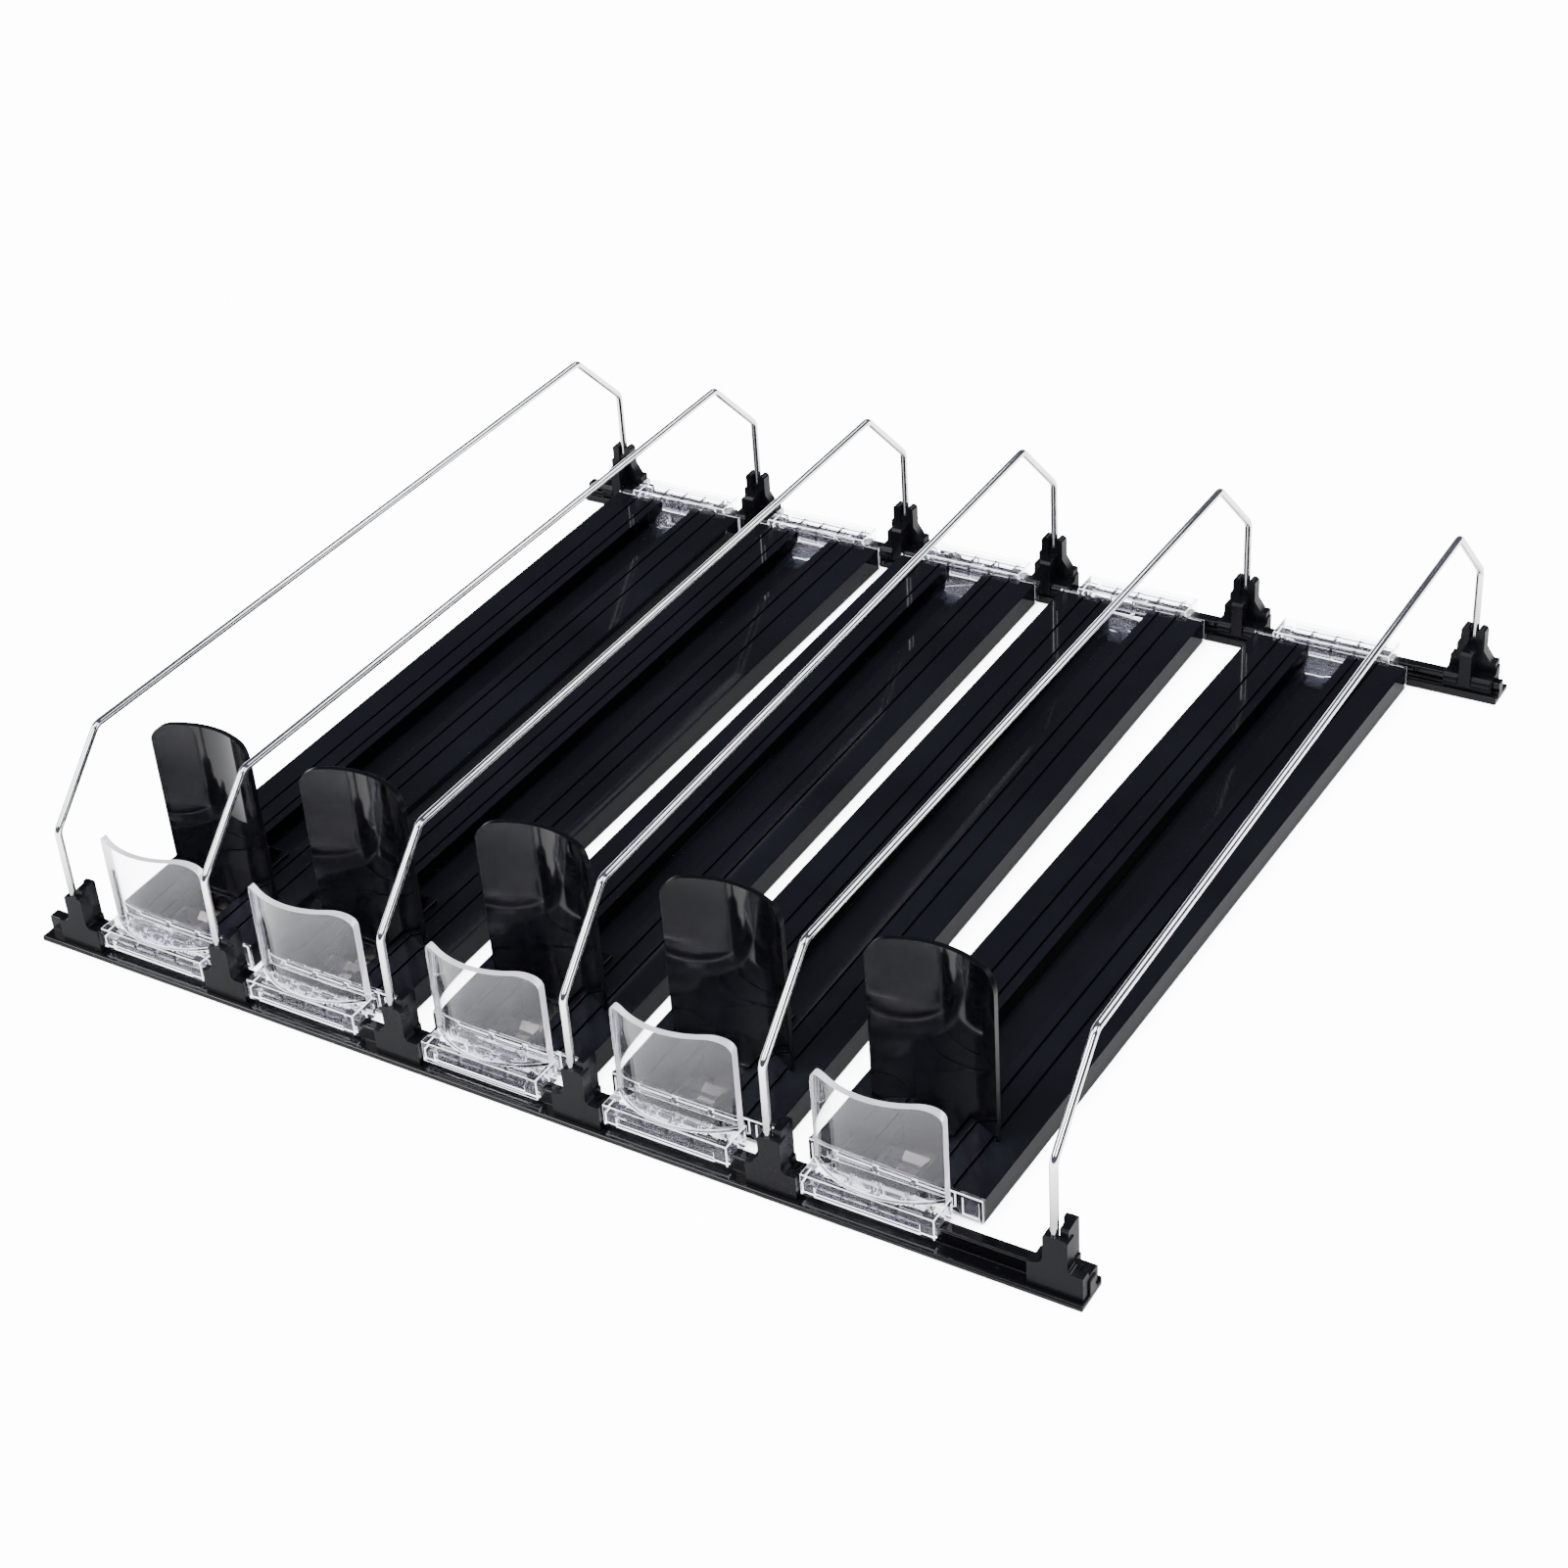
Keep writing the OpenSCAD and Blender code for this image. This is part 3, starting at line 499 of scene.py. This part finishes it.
def make_track(i, mat, groove_shade_mat):
    """A track, with painted shade: its channel walls and its narrow grooves in deep black."""
    bm = node_mesh(f"track_{i}")
    middle, across, _ = lane_axes(i)
    for face in bm.faces:
        centre = face.calc_center_median()
        x = abs((centre - middle).dot(across)) / MM
        depth = TRACK_TOP - centre.z / MM
        in_groove = GROOVE_X0 < x < GROOVE_X1 and depth < GROOVE_DEPTH
        in_wall = x < CHANNEL_HALF and face.normal.z < 0.5
        # Painted shade: the channel's walls and the narrow grooves take the deep black material
        if depth > NEAR and (in_wall or in_groove):
            face.material_index = 1
    track = finish_piece(
        bm, f"track_{i}_skin", mat, f"lane_{i}", 0, edge_mat=groove_shade_mat
    )
    track.data.shade_flat()
    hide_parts(f"track_{i}")


def make_shade_blocks(i, mat):
    """Dark blocks of painted shade that close a track's hollow underside behind its clear end
    plates.
    """
    place = lane_point(i)
    bm = bmesh.new()
    for y in (TRACK_Y0 + SHADE_BLOCK_FRONT, TRACK_Y1 - SHADE_BLOCK_REAR):
        for x0, x1 in ((-HOLLOW_X1, -HOLLOW_X0), (HOLLOW_X0, HOLLOW_X1)):
            brick(bm, place, x0, x1, y, y + SHADE_BLOCK_T, SHADE_BLOCK_LOW, HOLLOW_TOP)
    finish_piece(bm, f"track_{i}_shade_blocks", mat, f"lane_{i}", 0)


def finish_clip(bm, name, node, i, side, mat, outline_glow_mat):
    """Makes a clip's piece, with painted glowing outlines round its outer faces, which stand in
    for the light that gathers there.
    """
    weights = bm.edges.layers.float.new(WEIGHTS)
    middle, _, along = lane_axes(i)
    clip = lane_point(i)(0, side * LEG_Y, 0)
    plate_y = (PLATE_Y0 if side < 0 else PLATE_Y1) - TRACK_MIDDLE
    gaps = (
        lambda v: v.x - clip.x - CLIP_W / 2 * MM,
        lambda v: v.x - clip.x + CLIP_W / 2 * MM,
        lambda v: v.y - side * (LEG_Y + CLIP_FRONT) * MM,
        lambda v: v.z - CLIP_LOW * MM,
        lambda v: v.z - CLIP_TOP * MM,
        lambda v: (v - middle).dot(along) - plate_y * MM,
    )
    for edge in bm.edges:
        if edge.calc_face_angle(0) < math.radians(SHARP):
            continue
        if any(all(abs(gap(v.co)) < NEAR * MM for v in edge.verts) for gap in gaps):
            edge[weights] = 1
    # Painted glow: the weighted outer edges are rounded with the glowing outline material
    piece = finish_piece(
        bm, name, mat, f"lane_{i}", OUTLINE_EDGE, 1, SHARP, outline_glow_mat, True
    )
    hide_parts(node)


def make_clip(i, mat, outline_glow_mat):
    """A rear clip."""
    node = f"rear_clip_{i}"
    finish_clip(node_mesh(node), node + "_skin", node, i, 1, mat, outline_glow_mat)


def make_stop(i, mat, clip_mat, rim_glow_mat, outline_glow_mat):
    """A front stop: its clip and tongue from the solid, and a smooth bowed shield above."""
    node = f"front_stop_{i}"
    bm = node_mesh(node)
    everything = list(bm.verts) + list(bm.edges) + list(bm.faces)
    cut = bmesh.ops.bisect_plane(
        bm, geom=everything, plane_co=(0, 0, CLIP_TOP * MM), plane_no=(0, 0, 1), clear_outer=True
    )
    edges = [e for e in cut["geom_cut"] if isinstance(e, bmesh.types.BMEdge)]
    bmesh.ops.contextual_create(bm, geom=edges)
    finish_clip(bm, node + "_clip", node, i, -1, clip_mat, outline_glow_mat)

    centre = lane_point(i)(0, -LEG_Y, 0)

    def place(x, y, z):
        return centre + Vector((x, y, z)) * MM

    r = (SHIELD_W ** 2 / 4 + SHIELD_BOW ** 2) / (2 * SHIELD_BOW)
    bm = bmesh.new()
    curved_plate(
        bm, place, corner_steps(SHIELD_W / 2, SHIELD_TOP, SHIELD_CORNER), CLIP_TOP - SHIELD_SINK,
        lambda x: SHIELD_Y + r - math.sqrt(r * r - x * x),
        lambda x: SHIELD_Y + r - math.sqrt((r - SHIELD_T) ** 2 - x * x),
    )
    # The shield's rounded rims take the painted glow material
    finish_piece(
        bm, node + "_shield", mat, f"lane_{i}",
        SHIELD_EDGE, 3, PLATE_SHARP, rim_glow_mat,
    )


def make_pusher(i, mat, edge_mat):
    """A pusher: its paddle, and behind it the spine, the housing over the coil and the sled."""
    at = lane_point(i)

    def place(x, y, z):
        return at(x, y + PADDLE_Y, z)

    r = (PADDLE_W ** 2 / 4 + PADDLE_BOW ** 2) / (2 * PADDLE_BOW)
    bm = bmesh.new()
    curved_plate(
        bm, place, corner_steps(PADDLE_W / 2, PADDLE_TOP, PADDLE_CORNER), PADDLE_LOW,
        lambda x: -r + math.sqrt(r * r - x * x),
        lambda x: -r + math.sqrt((r + PADDLE_T) ** 2 - x * x),
    )
    body = f"pusher_unit_{i}"
    # The paddle's rim takes the painted highlight material
    paddle = finish_piece(
        bm, f"pusher_{i}_paddle", mat, body,
        MOULDED_EDGE, 2, PLATE_SHARP, edge_mat,
    )
    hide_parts(f"pusher_{i}")

    bm = bmesh.new()
    half, back, rear = SPINE_W / 2, PADDLE_T - PADDLE_LAP, PADDLE_T + SPINE_DEPTH
    slab(bm, place, -half, half, (
        (back, PADDLE_LOW), (rear, PADDLE_LOW), (rear, SPINE_TOP - SPINE_CHAMFER),
        (rear - SPINE_CHAMFER, SPINE_TOP), (back, SPINE_TOP),
    ))
    coil_z, coil_y = STRIP_Z + COIL_R, COIL_Y - PADDLE_Y
    wall, roof = coil_y + COIL_R + HOUSING_REAR, coil_z + COIL_R + HOUSING_ROOF
    slab(bm, place, -half - HOUSING_SIDE, half + HOUSING_SIDE, (
        (back, PADDLE_LOW), (wall, PADDLE_LOW), (wall, coil_z + HOUSING_STEP),
        (coil_y + HOUSING_REAR, roof), (back, roof),
    ))
    wide, pocket = SLED_NECK + SLED_PLATE, STRIP_W / 2 + STRIP_ROOM
    plate_top = PADDLE_LOW + SLED_PLATE
    brick(bm, place, -wide, wide, SLED_Y0 + SLED_SETBACK, SLED_Y1, PADDLE_LOW, plate_top)
    for x0, x1 in ((-SLED_NECK, -pocket), (pocket, SLED_NECK)):
        brick(bm, place, x0, x1, SLED_Y0, SLED_Y1, SLED_MIDDLE, PADDLE_LOW)
    flange = SLED_NECK + SLED_FLANGE
    for x0, x1 in ((-flange, -pocket), (pocket, flange)):
        brick(bm, place, x0, x1, SLED_Y0, SLED_Y1, STRIP_Z, SLED_MIDDLE + SLED_LAP)
    core_end = coil_y - COIL_R - COIL_ROOM
    brick(bm, place, -pocket, pocket, SLED_Y0, core_end, SLED_CORE_LOW, PADDLE_LOW)
    finish_piece(bm, f"pusher_{i}_sled", mat, body, SLED_EDGE)


def make_spring(i, mat):
    """A flat strip from its anchor along the channel, wound into a coil inside the pusher."""
    place = lane_point(i)
    path = []
    for k in range(STRIP_STEPS + 1):
        y = STRIP_FROM + (COIL_Y - STRIP_FROM) * k / STRIP_STEPS
        path.append((y, STRIP_Z, 0.0, 1.0))
    steps = COIL_TURNS * COIL_STEPS
    for k in range(1, steps + 1):
        turn = 2 * math.pi * k / COIL_STEPS
        r = COIL_R - (COIL_R - COIL_BORE_R) * k / steps
        ny, nz = -math.sin(turn), math.cos(turn)
        path.append((COIL_Y + r * ny, STRIP_Z + COIL_R - r * nz, ny, nz))
    bm = bmesh.new()
    rings = []
    for y, z, ny, nz in path:
        ring = []
        for x, side in ((-1, 0), (1, 0), (1, 1), (-1, 1)):
            dy, dz = ny * STRIP_T * side, nz * STRIP_T * side
            ring.append(bm.verts.new(place(x * STRIP_W / 2, y + dy, z + dz)))
        rings.append(ring)
    for a, b in zip(rings, rings[1:]):
        for k in range(4):
            bm.faces.new((a[k], b[k], b[(k + 1) % 4], a[(k + 1) % 4]))
    bm.faces.new(rings[0])
    bm.faces.new(rings[-1][::-1])
    bmesh.ops.recalc_face_normals(bm, faces=bm.faces)
    mesh = bpy.data.meshes.new(f"spring_{i}_strip")
    bm.to_mesh(mesh)
    bm.free()
    mesh.materials.append(mat)
    spring = bpy.data.objects.new(f"spring_{i}_strip", mesh)
    bpy.context.scene.collection.objects.link(spring)
    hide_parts(f"spring_{i}")
    start = place(0, STRIP_FROM + STRIP_HELD, 0)
    end = place(0, COIL_Y - COIL_R - STRIP_HELD, 0)
    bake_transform(spring)


make_camera()
make_room()
make_floor()
for light, setting in LIGHTS.items():
    area_light(light, *setting)

rail_mat = black_plastic("rail_black", (0.003, 0.003, 0.004), 0.06, 0.4, stretch=(0.1, 1, 1))
bracket_mat = black_plastic("bracket_black", (0.004, 0.004, 0.006), 0.24)
track_mat = black_plastic("track_black", (0.006, 0.0066, 0.0095), 0.05, 0.14, bump=0.002)
# Deep black for painted shade in the grooves and on the channel walls
groove_shade_mat = black_plastic("track_groove_painted_shade", (0.001, 0.001, 0.0012), 0.3, 0.04)
pusher_mat = black_plastic("pusher_black", (0.002, 0.002, 0.003), 0.07, bump=0.005)
# Painted highlight: the paddle's rim gets a lighter, rougher copy of the paddle plastic, to show
# as a faint line
paddle_rim_highlight_mat = black_plastic("pusher_edge_painted_highlight", (0.003, 0.003, 0.005), 0.35, 0.08, bump=0.005)
clear_mat = clear_plastic("clear_plastic", 1.45, 0.04)
clip_mat = clear_plastic("clear_clip", 1.16, 0.01)
# Painted glow on the shields' rims
rim_glow_mat = painted_glow_edge("clear_rim_painted_glow", 0.7)
# Painted glow on the clips' outlines
outline_glow_mat = painted_glow_edge("clear_outline_painted_glow", 2.4)
wire_mat = chrome("wire_chrome")
spring_mat = strip_steel("spring_steel")

for rail in ("front_rail", "rear_rail"):
    dress(rail, rail_mat, "base", segments=3)
for i in DIVIDERS:
    dress(f"wire_divider_{i}", wire_mat, f"divider_{i}", 0)
    for end in ("front", "rear"):
        dress(f"{end}_bracket_{i}", bracket_mat, f"divider_{i}")
for i in LANES:
    make_track(i, track_mat, groove_shade_mat)
    make_shade_blocks(i, track_mat)
    make_stop(i, clear_mat, clip_mat, rim_glow_mat, outline_glow_mat)
    make_clip(i, clip_mat, outline_glow_mat)
    make_pusher(i, pusher_mat, paddle_rim_highlight_mat)
    make_spring(i, spring_mat)
